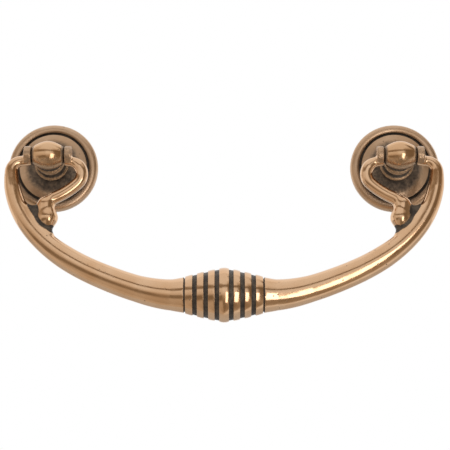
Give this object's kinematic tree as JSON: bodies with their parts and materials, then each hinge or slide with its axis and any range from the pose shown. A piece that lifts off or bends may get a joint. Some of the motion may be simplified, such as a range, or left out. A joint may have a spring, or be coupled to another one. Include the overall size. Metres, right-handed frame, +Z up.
{
  "type": "drop pull",
  "caption": "Drawer drop pull: a tapering cast bail with a banded grip, inner scrolls and ball finials, swinging on pins in turned posts that stand on round grooved roses.",
  "frame": {"origin": "on the drawer front, midway between the two fixing screws, at the height of the posts", "axes": "+X along the drawer to the right, +Y into the drawer front, +Z up; the pull faces -Y"},
  "size_m": [0.121, 0.0229, 0.0587],
  "materials": {
    "rose_bronze": "polished antique bronze with dark patina in the groove",
    "post_bronze": "polished antique bronze with dark patina in the coves",
    "bail_bronze": "polished antique bronze with dark patina between the bands and behind the finials",
    "pin_metal": "drawn brass, darkened"
  },
  "bodies": {
    "posts": {"rose_left": "rose_bronze", "rose_right": "rose_bronze", "post_left": "post_bronze", "post_right": "post_bronze"},
    "bail": {"bail": "bail_bronze", "pivot_pin_left": "pin_metal", "pivot_pin_right": "pin_metal"}
  },
  "joints": [
    {"name": "bail_swing", "type": "hinge", "parent": "posts", "child": "bail", "pos_m": [0, -0.0156, 0], "axis": [-1, 0, 0], "range_deg": [-12, 192]}
  ]
}
